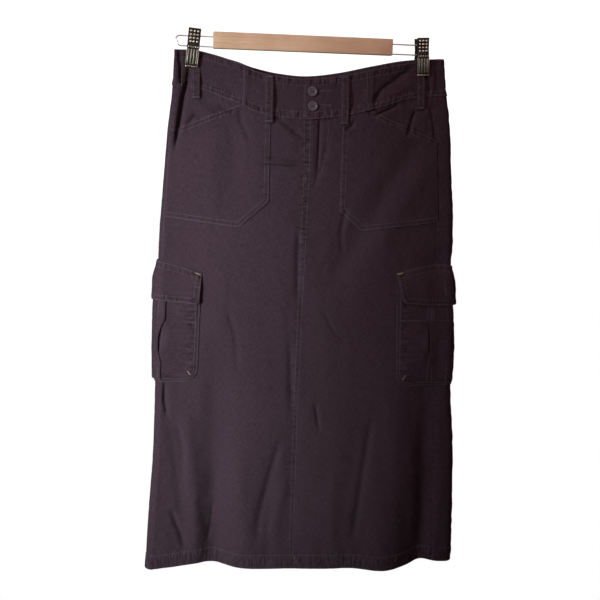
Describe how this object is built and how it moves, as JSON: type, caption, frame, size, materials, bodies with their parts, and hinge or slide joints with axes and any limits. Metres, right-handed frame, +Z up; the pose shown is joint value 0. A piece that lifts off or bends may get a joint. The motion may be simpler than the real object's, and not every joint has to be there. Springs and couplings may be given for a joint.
{
  "type": "cargo utility skirt on a clip hanger",
  "caption": "Long straight cotton skirt with patch and pleated side pockets, hanging nearly flat and open at waist and hem from a wooden bar hanger with wire ends and metal clips.",
  "frame": {"origin": "middle of the top face of the hanger's wooden bar", "axes": "+Z up, -Y out of the skirt's front, +X towards the wearer's left"},
  "size_m": [0.5286, 0.0724, 0.881],
  "materials": {
    "cloth": "washed plain-weave cotton, matt",
    "button": "satin resin",
    "wood": "bare, lightly waxed",
    "wire": "bright drawn wire",
    "clip": "dark bronze plating, worn on the ribs"
  },
  "bodies": {
    "root": {"panel_front_right": "cloth", "panel_front_left": "cloth", "panel_back": "cloth", "waistband_side_right": "cloth", "waistband_front_right": "cloth", "waistband_front_left": "cloth", "waistband_side_left": "cloth", "waistband_back": "cloth", "patch_pocket_right": "cloth", "patch_pocket_left": "cloth", "cargo_pocket_right": "cloth", "cargo_gusset_right": "cloth", "cargo_flap_right": "cloth", "cargo_pocket_left": "cloth", "cargo_gusset_left": "cloth", "cargo_flap_left": "cloth", "belt_loop_front_right": "cloth", "belt_loop_front_left": "cloth", "belt_loop_side_right": "cloth", "belt_loop_side_left": "cloth", "button_1": "button", "button_2": "button", "hanger_bar": "wood", "hanger_wire_right": "wire", "hanger_wire_left": "wire", "clip_right_spring": "wire", "clip_left_spring": "wire", "clip_right_jaw_front": "clip", "clip_right_jaw_back": "clip", "clip_left_jaw_front": "clip", "clip_left_jaw_back": "clip"}
  },
  "joints": []
}
